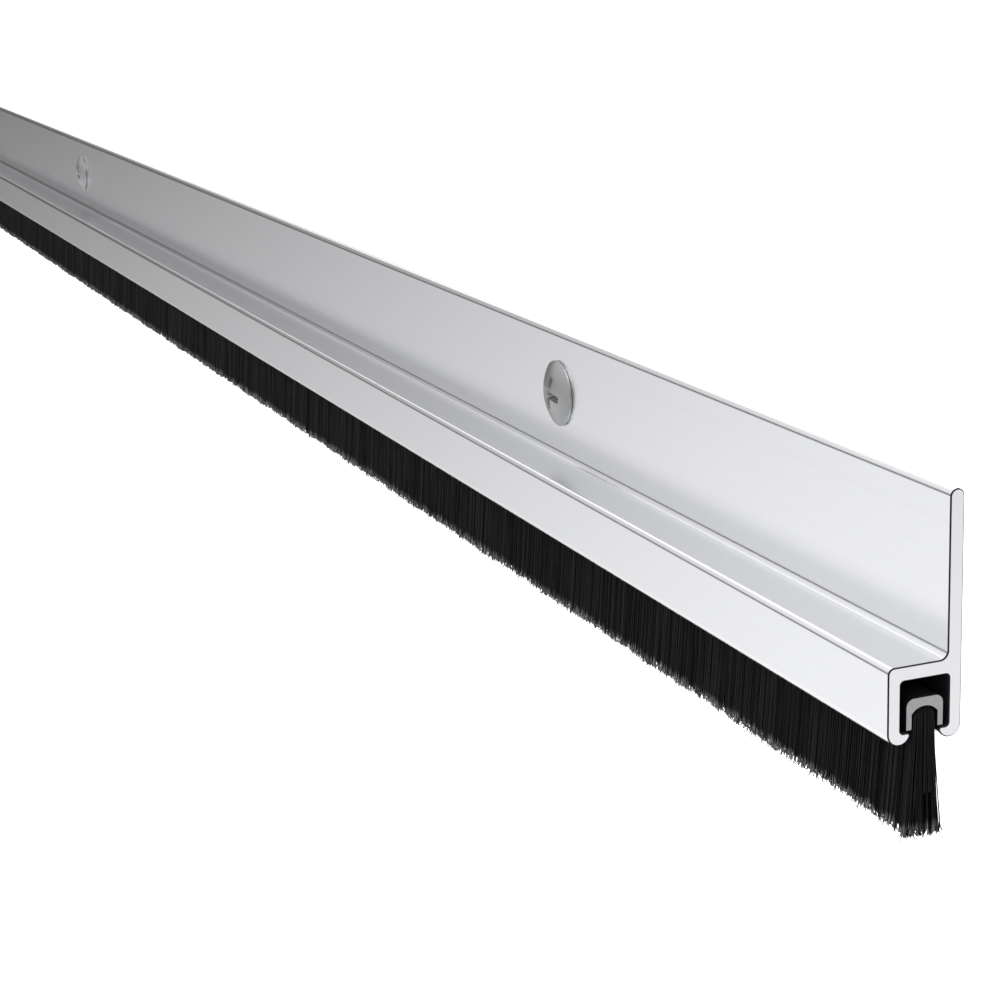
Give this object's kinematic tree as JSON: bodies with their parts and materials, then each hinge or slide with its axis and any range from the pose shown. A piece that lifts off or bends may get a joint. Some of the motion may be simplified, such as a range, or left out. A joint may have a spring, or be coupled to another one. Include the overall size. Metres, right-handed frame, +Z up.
{
  "type": "brush door sweep",
  "caption": "Screw-on brush door sweep: aluminium flange and T-slot channel holding a nylon bristle strip that seals the gap under a door.",
  "frame": {"origin": "on the flat back face that lies on the door, halfway along the bar, level with the top of the ledge", "axes": "+X along the bar to the right end seen from the room, +Y out of the back face into the door, +Z up"},
  "size_m": [0.9144, 0.0265, 0.0397],
  "materials": {
    "anodised": "clear satin anodised, fine lengthwise die lines",
    "holder": "dull galvanised sheet steel",
    "wire": "bare drawn wire",
    "bristle": "black crimped nylon filament",
    "screw": "bright zinc plate"
  },
  "bodies": {
    "carrier": {"carrier_extrusion": "anodised"},
    "brush_insert": {"brush_holder": "holder", "core_wire": "wire", "bristle_roots": "bristle"},
    "bristles": {"bristle_curtain": "bristle"},
    "mounting_screws": {"screw_left": "screw", "screw_centre": "screw", "screw_right": "screw"}
  },
  "joints": [
    {"name": "height_adjust", "type": "slide", "parent": "carrier", "child": "mounting_screws", "axis": [0, 0, 1], "range_m": [-0.0014, 0.0014]},
    {"name": "brush_draw_out", "type": "slide", "parent": "carrier", "child": "brush_insert", "axis": [1, 0, 0], "range_m": [0, 0.92]},
    {"name": "bristle_flex", "type": "hinge", "parent": "brush_insert", "child": "bristles", "pos_m": [0, -0.0047, -0.0087], "axis": [1, 0, 0], "range_deg": [-30, 30], "stiffness_Nm_per_rad": 0.2}
  ]
}
